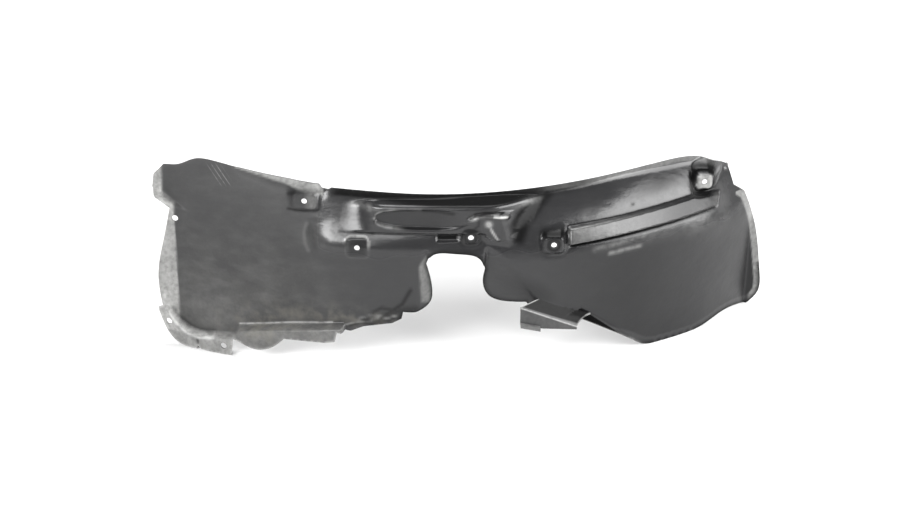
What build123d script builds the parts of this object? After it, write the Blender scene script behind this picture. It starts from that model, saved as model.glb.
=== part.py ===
"""Wheel arch liner: one moulded plastic sheet that stands on its lower edge, its outer side to the front.

X runs along the arch, Y runs back from the nose of the arch towards the wheel, Z runs up. Millimetres.
"""
import os
from math import asin, degrees, radians, sqrt, tan

from build123d import *

# The sheet and the two plan arcs that meet at the nose
WALL = 2.4
LEFT_RADIUS = 770.0
RIGHT_RADIUS = 500.0

# The crown: above the shoulder the panel leans back, little on the left and much on the right
SHOULDER = 127.0
CROWN_RISE = 78.0
LEAN_LEFT = 10.0
LEAN_RIGHT = 42.0
LEAN_STARTS = -220.0
LEAN_SPAN = 340.0

# The upright flange along the top of the crown
FLANGE_HEIGHT = 7.0

# Flat lips at the two ends and on the upper left lug, each set by the place where it leaves the panel
LEFT_LIP_X = -327.0
RIGHT_LIP_X = 400.0
LUG_LIP_X = -352.0
LUG_LIP_Z = 211.0

# The stepped skirt along the lower left edge
SKIRT_STEP = 15.0

# The beam across the nose with its oval dish and small groove
BEAM_LOW = 168.0
BEAM_HIGH = 201.0
BEAM_LEFT = -150.0
BEAM_RIGHT = 104.0
BEAM_DRAFT = 10.0
BEAM_RAMP_LEFT = (-106.0, 17.0)
BEAM_RAMP_RIGHT = (46.0, 32.0)
DISH_LENGTH = 112.0
DISH_HEIGHT = 24.0
DISH_X = -29.0
DISH_Z = 184.5
DISH_DEPTH = 5.0
GROOVE_LENGTH = 24.0
GROOVE_HEIGHT = 7.0
GROOVE_X = -3.0
GROOVE_Z = 160.5
GROOVE_DEPTH = 2.0
GUSSET_STEP = 5.0

# The long rib on the right panel
RIB_STEP = 8.0

# Screw pads, each flat and square to the moulding direction: x, z, width, height, height above the panel
PAD_CORNER = 5.0
PADS = {
    "upper_left": (-168.0, 200.0, 28.0, 20.0, 6.0),
    "left": (-107.0, 150.0, 25.0, 23.0, 5.0),
    "nose": (24.0, 162.5, 17.0, 15.0, 6.0),
    "right": (120.5, 150.0, 23.0, 20.0, 6.0),
    "upper_right": (317.0, 192.0, 20.0, 19.0, 13.0),
}
SCREW_HOLE = 6.5
LIP_HOLE = 7.5
LIP_HOLE_X = -331.5
LIP_HOLE_Z = 163.0
SKIRT_HOLE = 8.0
SKIRT_HOLES = [(-349.0, 30.0), (-276.5, 11.0)]

# The hood over the lower edge right of the strut notch
HOOD_LEFT = 82.0
HOOD_RIGHT = 166.0
HOOD_STEP = 14.0
HOOD_RIDGE_LEFT = 80.0
HOOD_RIDGE_RIGHT = 42.0
HOOD_ROOF = 16.0
FOOT_LENGTH = 24.0
FOOT_WIDTH = 8.0
FOOT_Z = 61.0
FOOT_DROP = 7.0

# Facets that turn back beside the strut notch, along the upper left edge and beside the hood, in degrees
LEFT_FACET = 45.0
RIGHT_FACET = 30.0
TOP_FACET = 45.0
TUCK_FACET = 50.0

# The outline as seen from the front, as x and z; each stretch starts where the one before it ends
TOP_LEFT = [(-326, 226), (-306, 234), (-280, 234.5), (-221, 225), (-152, 216)]
TOP_NICK = [(-148, 212), (-140, 212.5), (-137, 214.5)]
TOP_RIGHT = [(-34, 207.3), (81, 207.5), (177, 213.5), (262, 219.5), (312, 217.5), (358, 201)]
RIGHT_STEP = [(366, 175), (384, 163)]
RIGHT_END = [(403, 121), (412, 83), (418, 45), (418, 18), (404, 0)]
RIGHT_TOE = [(374, 8), (352, 7.5), (334, 3), (314, 0)]
RIGHT_SOLE = [(252, 0)]
RIGHT_HEEL = [(240, 2.5), (224, 12), (202, 23), (160, 40)]
HOOD_EDGE = [(104, 58), (90, 77)]
RIGHT_LOBE = [(66, 73.5), (48, 77.5), (40, 91), (41, 118)]
NOTCH_TOP = [(35, 136), (6, 143), (-22, 140), (-27.5, 130)]
LEFT_LOBE = [(-21, 95), (-24, 77), (-36, 71), (-55, 70.5)]
LEFT_FOOT = [(-57, 62), (-68, 56), (-102, 50.5), (-118, 43.5), (-133, 46)]
SKIRT_RIGHT = [(-136, 34), (-147, 32), (-198, 32)]
SKIRT_MID = [(-215, 18), (-238, 13.5), (-260, 21), (-264, 22)]
SKIRT_TAB = [(-267, 0), (-298, 0), (-308, 1), (-311, 6), (-313, 1)]
SKIRT_LEFT = [(-326, 1), (-340, 5), (-353, 19), (-362, 47)]
LEFT_LIP_END = [(-356, 49)]
LEFT_END = [(-358, 90), (-347, 138), (-337, 176)]
LUG_EDGE = [(-362, 196)]
LUG_END = [(-359, 212), (-346, 224)]

# Regions for the raised and stepped features, also seen from the front
SKIRT_REGION = [(-390, 50), (-350, 50), (-341, 34), (-325, 21), (-311, 18), (-262, 23), (-255, 35),
                (-190, 45), (-126, 52), (-126, -30), (-390, -30)]
LIP_REGION = [(-395, 210), (-305, 168), (-305, 20), (-395, 20)]
LUG_REGION = [(-395, 250), (-336, 250), (-336, 178), (-395, 178)]
RIGHT_LIP_REGION = [(350, 172), (455, 172), (455, -30), (350, -30)]
RIB_REGION = [(139, 148), (237, 155), (337, 161), (341, 174), (301, 178), (228, 173), (139, 166)]
GUSSET_REGION = [(26, 184), (57, 189), (66, 158), (46, 162)]
LEFT_FACET_REGION = [(-60, 147), (-27, 147), (-22, 132), (-10, 100), (-10, 60), (-60, 60)]
RIGHT_FACET_REGION = [(41, 128), (41, 150), (120, 150), (120, 60), (20, 60), (20, 112)]
TOP_FACET_REGION = [(-252, 250), (-146, 250), (-146, 190), (-252, 190)]
TUCK_FACET_REGION = [(140, 66), (178, 66), (256, -10), (140, -10)]
LEFT_FACET_LINE = [(-38, 84), (-27, 147)]
RIGHT_FACET_LINE = [(44, 148), (100, 86)]
TOP_FACET_LINE = [(-250, 229), (-148, 205)]
TUCK_FACET_LINE = [(168, 58), (214, 21)]
HOOD_REGION = [(HOOD_LEFT, 100), (HOOD_RIGHT, 100), (HOOD_RIGHT, 42), (150, 45), (106, 51), (HOOD_LEFT, 58)]

# Reach of the working bodies around the sheet
FRONT = -80.0
BACK = 440.0
X_RANGE = (-410.0, 445.0)
Z_RANGE = (-40.0, 262.0)
X_STEPS = 30
Z_STEPS = 14


def plan_depth(x):
    """Depth of the arch behind its nose: two arcs that meet there."""
    radius = LEFT_RADIUS if x < 0 else RIGHT_RADIUS
    return radius - sqrt(radius ** 2 - x ** 2)


def panel_depth(x, z):
    """Depth of the panel's outer face: the plan arc, and above the shoulder the crown's lean."""
    t = min(max((x - LEAN_STARTS) / LEAN_SPAN, 0.0), 1.0)
    lean = LEAN_LEFT + (LEAN_RIGHT - LEAN_LEFT) * t * t * (3.0 - 2.0 * t)
    rise = max(z - SHOULDER, 0.0) / CROWN_RISE
    return plan_depth(x) + lean * rise ** 2


def on_panel(x, z):
    return Vector(x, panel_depth(x, z), z)


def skin(inset):
    """The panel's outer face, moved inwards by the inset along its own normal."""
    rows = []
    for i in range(X_STEPS + 1):
        x = X_RANGE[0] + (X_RANGE[1] - X_RANGE[0]) * i / X_STEPS
        row = []
        for k in range(Z_STEPS + 1):
            z = Z_RANGE[0] + (Z_RANGE[1] - Z_RANGE[0]) * k / Z_STEPS
            along = on_panel(x + 0.5, z) - on_panel(x - 0.5, z)
            up = on_panel(x, z + 0.5) - on_panel(x, z - 0.5)
            row.append(on_panel(x, z) + up.cross(along).normalized() * inset)
        rows.append(row)
    return Face.make_surface_from_array_of_points(rows, tol=0.02)


def upright(points):
    """A face in the front view, at the nose's depth."""
    return Plane.XZ * make_face(Polyline(*points, close=True))


def prism(face, start, stop, draft=0.0):
    """The face carried from one depth to another, growing backwards by the draft."""
    placed = face.moved(Location((0, start, 0)))
    return extrude(placed, amount=start - stop, taper=-draft)


def shrunk(face, by):
    return offset(face, amount=-by, kind=Kind.INTERSECTION)


def behind(plane, inset):
    """Everything on the wheel side of a plane that faces outwards."""
    return extrude(plane.offset(-inset) * Rectangle(1600, 1600), amount=-700)


def in_front(plane, inset):
    return extrude(plane.offset(-inset) * Rectangle(1600, 1600), amount=400)


def facing(point, along, fall, side):
    """A plane through two panel points that falls back by an angle towards one side of the line."""
    line = (along - point).normalized()
    flat = Vector(side[0], 0, side[1])
    flat = (flat - line * flat.dot(line)).normalized()
    down = (flat + Vector(0, 1, 0) * tan(radians(fall))).normalized()
    normal = line.cross(down).normalized()
    if normal.Y > 0:
        normal = -normal
    return Plane(origin=point, x_dir=line, z_dir=normal)


def arch_body(inset):
    """Everything behind the plan arcs, as an upright wall of constant section."""
    start = (X_RANGE[0], plan_depth(X_RANGE[0]) + inset)
    stop = (X_RANGE[1], plan_depth(X_RANGE[1]) + inset)
    nose = (0, inset)
    left = (X_RANGE[0] / 2, plan_depth(X_RANGE[0] / 2) + inset)
    right = (X_RANGE[1] / 2, plan_depth(X_RANGE[1] / 2) + inset)
    edges = [ThreePointArc(start, left, nose), ThreePointArc(nose, right, stop)]
    edges.append(Polyline(stop, (stop[0], BACK), (start[0], BACK), start))
    return extrude(make_face(edges), amount=Z_RANGE[1]).moved(Location((0, 0, Z_RANGE[0] / 2)))


def flange_body(inset):
    """Everything behind the upright flange, whose foot follows the crown a little below the top edge."""
    foot = [(x, panel_depth(x, z - FLANGE_HEIGHT) + inset) for x, z in [TOP_NICK[-1]] + TOP_RIGHT]
    edges = [Spline(*foot), Polyline(foot[-1], (foot[-1][0], BACK - 20), (foot[0][0], BACK - 20), foot[0])]
    return extrude(make_face(edges), amount=Z_RANGE[1] - SHOULDER).moved(Location((0, 0, SHOULDER)))


def hood_body(inset):
    """Everything behind the hood's upright front wall and under its roof, which falls towards the right."""
    left, right = HOOD_LEFT, HOOD_RIGHT
    front_left = Vector(left, plan_depth(left) - HOOD_STEP, HOOD_RIDGE_LEFT)
    front_right = Vector(right, plan_depth(right) - HOOD_STEP, HOOD_RIDGE_RIGHT)
    run = (front_right - front_left).normalized()
    wall = Plane(origin=front_left, x_dir=(run.X, run.Y, 0), z_dir=(run.Y, -run.X, 0))
    climb = Vector(-run.Y, run.X, tan(radians(HOOD_ROOF))).normalized()
    roof_normal = run.cross(climb).normalized()
    if roof_normal.Z < 0:
        roof_normal = -roof_normal
    roof = Plane(origin=front_left, x_dir=run, z_dir=roof_normal)
    return behind(wall, inset) & behind(roof, inset)


def pad_depth(name):
    x, z, width, height, step = PADS[name]
    return panel_depth(x, z) - step


def form(inset):
    """The solid form behind one side of the sheet: inset 0 gives the outer side, the wall the inner one."""
    panel = extrude(skin(inset), amount=BACK, dir=(0, 1, 0))
    body = panel

    # Facets that turn the sheet back at its free edges
    cuts = [
        (LEFT_FACET_REGION, LEFT_FACET_LINE, LEFT_FACET, (1, 0)),
        (RIGHT_FACET_REGION, RIGHT_FACET_LINE, RIGHT_FACET, (-1, -1)),
        (TOP_FACET_REGION, TOP_FACET_LINE, TOP_FACET, (0, 1)),
        (TUCK_FACET_REGION, TUCK_FACET_LINE, TUCK_FACET, (-1, -1)),
    ]
    for region, (first, last), fall, side in cuts:
        plane = facing(on_panel(*first), on_panel(*last), fall, side)
        body = body - (prism(upright(region), FRONT, BACK) & in_front(plane, inset))

    # Upright flange along the top
    body = body + flange_body(inset)

    # Lips at the ends
    lips = [
        (LIP_REGION, panel_depth(LEFT_LIP_X, SHOULDER)),
        (LUG_REGION, panel_depth(LUG_LIP_X, LUG_LIP_Z)),
        (RIGHT_LIP_REGION, panel_depth(RIGHT_LIP_X, SHOULDER)),
    ]
    for region, depth in lips:
        body = body + prism(shrunk(upright(region), inset), depth + inset, BACK - 10)

    # Stepped skirt and rib, which repeat the panel a step further out
    skirt = prism(shrunk(upright(SKIRT_REGION), inset), FRONT, BACK - 10)
    body = body + (skirt & panel.moved(Location((0, -SKIRT_STEP, 0))))
    rib = prism(shrunk(upright(RIB_REGION), inset), FRONT, BACK - 10)
    body = body + (rib & panel.moved(Location((0, -RIB_STEP, 0))))

    # Beam across the nose, with a ramp at its left end, its dish, groove and gusset
    wall = arch_body(inset)
    beam = [(BEAM_LEFT, BEAM_LOW), (BEAM_RIGHT, BEAM_LOW), (BEAM_RIGHT, BEAM_HIGH), (BEAM_LEFT, BEAM_HIGH)]
    beam = prism(shrunk(upright(beam), inset), 0, 60, BEAM_DRAFT) & wall
    for (x, fall), side in ((BEAM_RAMP_LEFT, -1), (BEAM_RAMP_RIGHT, 1)):
        start = Vector(x, plan_depth(x), BEAM_LOW)
        beam = beam & behind(facing(start, start + Vector(0, 0, 1), fall, (side, 0)), inset)
    body = body + beam
    gusset = prism(shrunk(upright(GUSSET_REGION), inset), -GUSSET_STEP, 60, BEAM_DRAFT)
    body = body + (gusset & wall.moved(Location((0, -GUSSET_STEP, 0))))
    dish = Plane.XZ * Pos(DISH_X, DISH_Z) * SlotOverall(DISH_LENGTH + 2 * inset, DISH_HEIGHT + 2 * inset)
    dish = prism(dish, FRONT, BACK / 2) - wall.moved(Location((0, DISH_DEPTH, 0)))
    body = body - dish
    groove = Rectangle(GROOVE_LENGTH + 2 * inset, GROOVE_HEIGHT + 2 * inset)
    groove = Plane.XZ * Pos(GROOVE_X, GROOVE_Z) * groove
    groove = prism(groove, FRONT, BACK / 2) - panel.moved(Location((0, GROOVE_DEPTH, 0)))
    body = body - groove

    # Screw pads
    for name, (x, z, width, height, step) in PADS.items():
        pad = RectangleRounded(width - 2 * inset, height - 2 * inset, PAD_CORNER - inset)
        pad = Plane.XZ * Pos(x, z) * pad
        depth = pad_depth(name) + inset
        body = body + prism(pad, depth, depth + 45)
    return body


def outline():
    """The sheet's edge in the front view, each stretch starting where the one before it ends."""
    stretches = [
        (Spline, TOP_LEFT), (Polyline, TOP_NICK), (Spline, TOP_RIGHT), (Polyline, RIGHT_STEP),
        (Spline, RIGHT_END), (Spline, RIGHT_TOE), (Polyline, RIGHT_SOLE), (Spline, RIGHT_HEEL),
        (Polyline, HOOD_EDGE), (Spline, RIGHT_LOBE), (Spline, NOTCH_TOP), (Spline, LEFT_LOBE),
        (Polyline, LEFT_FOOT), (Polyline, SKIRT_RIGHT), (Spline, SKIRT_MID), (Polyline, SKIRT_TAB),
        (Spline, SKIRT_LEFT), (Polyline, LEFT_LIP_END), (Spline, LEFT_END), (Polyline, LUG_EDGE),
        (Polyline, LUG_END),
    ]
    edges = []
    start = LUG_END[-1]
    for curve, points in stretches:
        edges.append(curve(start, *points))
        start = points[-1]
    return Plane.XZ * make_face(edges)


def hole(x, depth, z, diameter, turn=0.0):
    """A round cutter through the sheet, along the moulding direction or turned about the upright."""
    cutter = Cylinder(diameter / 2, 4 * WALL, rotation=(90, 0, 0))
    return cutter.rotate(Axis.Z, turn).moved(Location((x, depth, z)))


def liner():
    sheet = prism(outline(), FRONT, BACK - 30) & form(0.0)
    inside = form(WALL)
    sheet = sheet - inside
    hood = prism(upright(HOOD_REGION), FRONT, BACK / 2) & (hood_body(0.0) - hood_body(WALL))
    front = plan_depth(HOOD_LEFT) - HOOD_STEP
    foot = [(HOOD_LEFT, FOOT_Z), (HOOD_LEFT + FOOT_LENGTH, FOOT_Z - FOOT_DROP),
            (HOOD_LEFT + FOOT_LENGTH, FOOT_Z - FOOT_DROP - WALL), (HOOD_LEFT, FOOT_Z - WALL)]
    foot = prism(upright(foot), front - FOOT_WIDTH, front + HOOD_STEP) - hood_body(WALL)
    sheet = sheet + ((hood + foot) - inside)
    for name, (x, z, width, height, step) in PADS.items():
        sheet = sheet - hole(x, pad_depth(name), z, SCREW_HOLE)
    sheet = sheet - hole(LIP_HOLE_X, panel_depth(LEFT_LIP_X, SHOULDER), LIP_HOLE_Z, LIP_HOLE)
    for x, z in SKIRT_HOLES:
        turn = degrees(asin(x / LEFT_RADIUS))
        sheet = sheet - hole(x, panel_depth(x, z) - SKIRT_STEP, z, SKIRT_HOLE, turn)
    box = sheet.bounding_box()
    middle = box.center()
    return sheet.moved(Location((-middle.X, -middle.Y, -box.min.Z)))


if __name__ == "__main__":
    os.makedirs("parts", exist_ok=True)
    part = liner()
    export_step(part, "parts/arch_liner.step")
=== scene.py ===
"""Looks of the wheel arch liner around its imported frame: the moulded sheet, its hood, finish and studio.

Lengths are millimetres in the arch's own frame (X along the arch, Y back from the nose, Z up) until a mesh
is written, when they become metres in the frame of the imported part.
"""
import logging
import math
from dataclasses import dataclass, field
from enum import Enum
from typing import Dict, List, Optional, Sequence, Tuple, Union

import bpy
import numpy as np
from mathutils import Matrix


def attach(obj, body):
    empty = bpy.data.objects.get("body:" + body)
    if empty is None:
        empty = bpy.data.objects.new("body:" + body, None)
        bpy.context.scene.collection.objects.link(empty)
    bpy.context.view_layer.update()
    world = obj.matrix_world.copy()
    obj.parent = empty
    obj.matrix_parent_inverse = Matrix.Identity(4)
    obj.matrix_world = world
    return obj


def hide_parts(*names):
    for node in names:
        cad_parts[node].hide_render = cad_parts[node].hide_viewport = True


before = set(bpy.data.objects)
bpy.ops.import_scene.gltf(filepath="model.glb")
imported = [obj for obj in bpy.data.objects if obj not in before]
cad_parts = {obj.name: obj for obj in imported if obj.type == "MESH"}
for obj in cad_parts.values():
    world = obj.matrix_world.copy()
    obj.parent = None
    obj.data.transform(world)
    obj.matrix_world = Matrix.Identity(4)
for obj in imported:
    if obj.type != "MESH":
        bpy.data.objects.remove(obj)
LOG = logging.getLogger("arch_liner")

Point = Tuple[float, float]
Vector = Tuple[float, float, float]
Colour = Tuple[float, float, float]
Path = Tuple[Point, ...]
Array = np.ndarray
Amount = Union[float, np.ndarray]
Piece = bpy.types.Object
Socket = bpy.types.NodeSocket
Given = Union[Socket, float, Tuple[float, ...]]
Key = Union[int, str]
Inputs = Dict[Key, Given]

# From the arch's frame to the part's frame, millimetres in a metre, and the sheet's thickness.
SHIFT = np.array([-28.6653, -93.5956, 0.0])
METRE = 1000.0
WALL = 2.4
NODE = "arch_liner"
# Samples from one point of the edge to the next, on curves and on straight runs.
CURVE_STEPS = 12
STRAIGHT_STEPS = 6
# A distance beyond everything, and the least squared length and rise to divide by.
FAR = 1e9
TINY = 1e-12
LEVEL = 1e-9


class Curve(Enum):
    """How one stretch of the sheet's edge runs through its points."""

    SMOOTH = "smooth"
    STRAIGHT = "straight"


class Coat(Enum):
    """Names of the point attributes that the finish reads."""

    DUST = "dust"
    GREY = "grey"
    GRIME = "grime"
    GLOSS = "gloss"
    EDGE = "edge"
    # Painted shade: dark where shade falls in creases, rings, rims and hollows, and over some highlights.
    CREASE = "crease"
    SCRATCH = "scratch"


INNER_SHARE: Dict[Coat, float] = {Coat.EDGE: 0.3, Coat.SCRATCH: 0.0, Coat.CREASE: 0.4, Coat.GREY: 0.6}


def ease(low: float, high: float, value: Array) -> Array:
    """Eased step from 0 at low to 1 at high, falling where low is the greater: 3t squared less 2t cubed."""
    t = np.clip((value - low) / (high - low), 0.0, 1.0)
    return t * t * (3.0 - 2.0 * t)


def soft_min(a: Array, b: Array, blend: Amount) -> Array:
    """Lesser of two depths, rounded within the blend: the minimum less a quarter of the squared overlap."""
    overlap = np.maximum(blend - np.abs(a - b), 0.0) / blend
    return np.minimum(a, b) - overlap ** 2 * blend / 4.0


def soft_max(a: Array, b: Array, blend: Amount) -> Array:
    """Greater of two depths, rounded where they cross."""
    return -soft_min(-a, -b, blend)


def bell(off: Array, width: float) -> Array:
    """Bell of a distance: e to the minus half of its square in widths."""
    return np.exp(-0.5 * (off / width) ** 2)


def moved(y: Array, to: Array, share: Array) -> Array:
    """Depths moved towards others by a share of the way."""
    return y + share * (to - y)


def segment_distance(x: Array, z: Array, start: Point, end: Point) -> Array:
    """Distance to a straight segment: to the foot of the perpendicular, held between its ends."""
    dx, dz = end[0] - start[0], end[1] - start[1]
    t = np.clip(((x - start[0]) * dx + (z - start[1]) * dz) / max(dx * dx + dz * dz, TINY), 0.0, 1.0)
    return np.hypot(x - start[0] - t * dx, z - start[1] - t * dz)


def polygon_distance(x: Array, z: Array, points: Sequence[Point]) -> Array:
    """Distance to a closed polygon, negative inside: the least to any side, its sign by counting crossings.

    Args:
        x: Places along the arch.
        z: Heights.
        points: Corners in order.
    Returns:
        Distances in millimetres.
    """
    corners = np.asarray(points, float)
    nearest = np.full(np.shape(x), FAR)
    inside = np.zeros(np.shape(x), bool)
    for (x0, z0), (x1, z1) in zip(corners, np.roll(corners, -1, axis=0)):
        nearest = np.minimum(nearest, segment_distance(x, z, (x0, z0), (x1, z1)))
        if abs(z1 - z0) > LEVEL:
            inside ^= ((z0 > z) != (z1 > z)) & (x < x0 + (z - z0) * (x1 - x0) / (z1 - z0))
    return np.where(inside, -nearest, nearest)


def within(x: Array, z: Array, points: Sequence[Point], soft: float) -> Array:
    """1 inside a polygon and 0 outside, eased over the soft distance on both sides of its border."""
    return ease(soft, -soft, polygon_distance(x, z, points))


def box_distance(x: Array, z: Array, at: Point, size: Point, corner: float) -> Array:
    """Signed distance to an upright rounded rectangle, negative inside.

    Args:
        x: Places along the arch.
        z: Heights.
        at: Middle of the rectangle.
        size: Width and height.
        corner: Corner radius.
    Returns:
        Distances in millimetres.
    """
    u = np.abs(x - at[0]) - size[0] / 2.0 + corner
    v = np.abs(z - at[1]) - size[1] / 2.0 + corner
    return np.hypot(np.maximum(u, 0.0), np.maximum(v, 0.0)) + np.minimum(np.maximum(u, v), 0.0) - corner


def smooth_path(points: Sequence[Point], steps: int = CURVE_STEPS) -> Array:
    """Natural cubic spline through the points, stepped evenly between each pair by chord length.

    Args:
        points: Points on the curve.
        steps: Samples between two points.
    Returns:
        The samples, first point left out.
    """
    p = np.asarray(points, float)
    h = np.linalg.norm(np.diff(p, axis=0), axis=1)
    n = len(p)
    system = np.eye(n)
    right = np.zeros((n, 2))
    for i in range(1, n - 1):
        system[i, i - 1:i + 2] = h[i - 1], 2.0 * (h[i - 1] + h[i]), h[i]
        right[i] = 6.0 * ((p[i + 1] - p[i]) / h[i] - (p[i] - p[i - 1]) / h[i - 1])
    m = np.linalg.solve(system, right)
    t = np.arange(1, steps + 1)[None, :, None] / steps
    a, b = p[:-1, None], p[1:, None]
    ma, mb, span = m[:-1, None], m[1:, None], h[:, None, None]
    curve = a * (1 - t) + b * t + span ** 2 / 6.0 * ((((1 - t) ** 3 - (1 - t)) * ma) + ((t ** 3 - t) * mb))
    return curve.reshape(-1, 2)


def on_curve(knots: Array, x: Array) -> Array:
    """Heights, at each x, of the smooth curve through the knots."""
    path = np.concatenate([knots[:1], smooth_path(knots)])
    return np.interp(x, path[:, 0], path[:, 1])


@dataclass(frozen=True)
class Line:
    """Soft line on the sheet: its strength, the points that it runs through and its half width."""

    strength: float
    points: Path
    width: float

    def on(self, x: Array, z: Array) -> Array:
        """Strength times a bell of the least distance to the segments between the points."""
        runs = zip(self.points[:-1], self.points[1:])
        nearest = np.minimum.reduce([segment_distance(x, z, start, end) for start, end in runs])
        return self.strength * bell(nearest, self.width)


@dataclass(frozen=True)
class Spot:
    """Soft spot on the sheet: its strength, middle, spreads along and across, and turn in degrees."""

    strength: float
    at: Point
    spread: Point
    turn: float = 0.0

    def on(self, x: Array, z: Array) -> Array:
        """Strength times e to the minus half of the squared distance in spreads.

        Args:
            x: Places along the arch.
            z: Heights.
        Returns:
            Values at the places.
        """
        c, s = math.cos(math.radians(self.turn)), math.sin(math.radians(self.turn))
        u = ((x - self.at[0]) * c + (z - self.at[1]) * s) / self.spread[0]
        v = ((z - self.at[1]) * c - (x - self.at[0]) * s) / self.spread[1]
        return self.strength * np.exp(-0.5 * (u * u + v * v))


Mark = Union[Line, Spot]

GREY_MARKS: Tuple[Mark, ...] = (
    Line(0.60, ((-361, 196), (-349, 186), (-338, 178)), 3.4),
    Spot(0.12, (-292, 42), (30, 24)),
)
# Painted shade: dark lines and patches where shade falls by the pads, dish, beam, dent, slit, skirt's step,
# folds, hood and crown.
SHADE_MARKS: Tuple[Mark, ...] = (
    # Over and under the upper left pad.
    Line(0.60, ((-186, 206), (-179, 210), (-168, 211), (-157, 209)), 2.2),
    Line(0.60, ((-188, 189), (-168, 188), (-152, 189)), 1.2),
    # The dish's right end, top and foot.
    Line(0.5, ((28, 173), (32.5, 178), (33, 184)), 1.1),
    Line(0.55, ((-66, 193), (-50, 194), (-20, 193.5), (4, 191)), 1.6),
    Line(0.60, ((-58, 174.5), (-40, 173), (-12, 173)), 1.3),
    # Under the beam's left end, and the dent beside it.
    Line(0.65, ((-128, 167), (-110, 166.5), (-88, 166)), 1.2),
    Spot(0.42, (-160.5, 159), (4, 10), 8),
    # The tab's slit and the foot of the skirt's step.
    Line(1, ((-311, 4), (-311.5, 13)), 1),
    Line(0.45, ((-343, 46), (-337, 36), (-323, 23.5), (-310, 20.5), (-292, 22.5)), 2),
    # Painted shade in the folds at the lower edge left of the notch.
    Line(0.55, ((-102, 58), (-76, 66), (-56, 80), (-46, 98)), 1.8),
    Line(0.6, ((-92, 54), (-70, 60), (-60, 66)), 1.5),
    Line(0.45, ((-84, 60), (-62, 71), (-40, 74)), 4),
    Line(0.55, ((-118, 51), (-106, 55.5), (-94, 54)), 1.6),
    Line(0.50, ((-90, 69), (-80, 75), (-70, 73)), 1.6),
    # Painted shade over the right pad, over the hood and on the crown over the rib, and the pit over the
    # rib.
    Line(0.92, ((109, 161.5), (132, 161.5)), 3.8),
    Spot(0.8, (219, 181.5), (1.9, 1.4)),
    Spot(0.30, (102, 92), (24, 9), -25),
    Spot(0.62, (258, 199), (20, 8), 6),
)
# Pale marks, mostly painted highlights on ledges, folds, the gusset and the crown.
HIGHLIGHT_AND_WEAR_MARKS: Tuple[Mark, ...] = (
    # Painted highlights on the ledge over the dish, and on the skirt's step, upper border and lip.
    Line(0.10, ((-113, 195), (-70, 196), (-34, 196)), 1.6),
    Line(0.22, ((-112, 196.5), (-92, 196)), 2.4),
    Line(0.95, ((-347, 43), (-342, 33), (-326, 19.5), (-311, 16.5), (-290, 19)), 1.3),
    Line(0.55, ((-256, 38), (-190, 48), (-140, 53.4)), 0.7),
    Line(0.5, ((-352, 66), (-354, 54)), 1.4),
    # Painted highlights on the folds at the lower edge left of the notch.
    Line(0.20, ((-128, 50), (-112, 55), (-92, 58)), 0.8),
    Line(0.20, ((-88, 66), (-74, 62), (-62, 66)), 0.8),
    Line(0.16, ((-108, 60), (-96, 64), (-84, 62)), 1),
    # Painted highlights on the gusset's lip, bead and flank.
    Line(0.9, ((51, 188), (58, 187), (65, 185.5)), 1),
    Spot(0.8, (28, 186), (3, 1.4), 25),
    Spot(0.9, (44, 179), (2.3, 2.3)),
    Spot(0.22, (90, 196), (9, 2.2), 4),
    # Painted highlights: streaks under and over the rib, and pale patches at the right end and by the dent.
    Line(0.13, ((172, 138), (200, 141.5), (234, 146)), 2.4),
    Line(0.20, ((190, 131), (210, 133), (229, 134.5)), 1.8),
    Line(0.055, ((226, 143), (270, 147), (326, 152)), 5),
    Line(0.05, ((160, 176), (228, 182), (300, 187)), 4),
    Spot(0.07, (312, 146), (22, 9), 4),
    Spot(0.06, (346, 157), (9, 15)),
    Spot(0.05, (-146, 160), (14, 9)),
)
SOIL_MARKS: Tuple[Mark, ...] = (
    Spot(1, (-222, 42), (42, 15), 6),
    Spot(0.6, (-118, 60), (45, 9), -4),
)


@dataclass(frozen=True)
class ArchForm:
    """Large form of the sheet: two plan arcs that meet at the nose, and a crown that leans back."""

    left_radius: float = 770.0
    right_radius: float = 500.0
    shoulder: float = 127.0
    crown_rise: float = 78.0
    lean_left: float = 10.0
    lean_right: float = 42.0
    lean_starts: float = -220.0
    lean_span: float = 340.0

    def plan(self, x: Array) -> Array:
        """Depth of the plan arcs: the radius less the root of its square less x squared."""
        radius = np.where(x < 0, self.left_radius, self.right_radius)
        return radius - np.sqrt(np.maximum(radius ** 2 - x ** 2, 1.0))

    def depth(self, x: Array, z: Array) -> Array:
        """Depth of the panel: the plan arc, and above the shoulder the lean times the squared rise.

        Args:
            x: Places along the arch.
            z: Heights.
        Returns:
            Depths behind the nose.
        """
        share = ease(self.lean_starts, self.lean_starts + self.lean_span, np.asarray(x, float))
        lean = self.lean_left + (self.lean_right - self.lean_left) * share
        rise = np.maximum(z - self.shoulder, 0.0) / self.crown_rise
        return self.plan(np.asarray(x, float)) + lean * rise ** 2


@dataclass(frozen=True)
class Facet:
    """Flat that turns the sheet back from a line on the panel, inside one region of the front view."""

    region: Path
    line: Tuple[Point, Point]
    fall: float
    side: Point
    soft: float = 1.5

    def depth(self, arch: ArchForm, x: Array, z: Array) -> Array:
        """Depth of the facet's plane, which holds the line and falls back by the angle towards the side.

        Args:
            arch: The panel that the line lies on.
            x: Places along the arch.
            z: Heights.
        Returns:
            Depths behind the nose.
        """
        (x0, z0), (x1, z1) = self.line
        first = np.array([x0, float(arch.depth(np.array(x0), z0)), z0])
        last = np.array([x1, float(arch.depth(np.array(x1), z1)), z1])
        along = (last - first) / np.linalg.norm(last - first)
        flat = np.array([self.side[0], 0.0, self.side[1]])
        flat = flat - along * flat.dot(along)
        down = flat / np.linalg.norm(flat) + np.array([0.0, math.tan(math.radians(self.fall)), 0.0])
        normal = np.cross(along, down)
        return first[1] - (normal[0] * (x - first[0]) + normal[2] * (z - first[2])) / normal[1]


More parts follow.
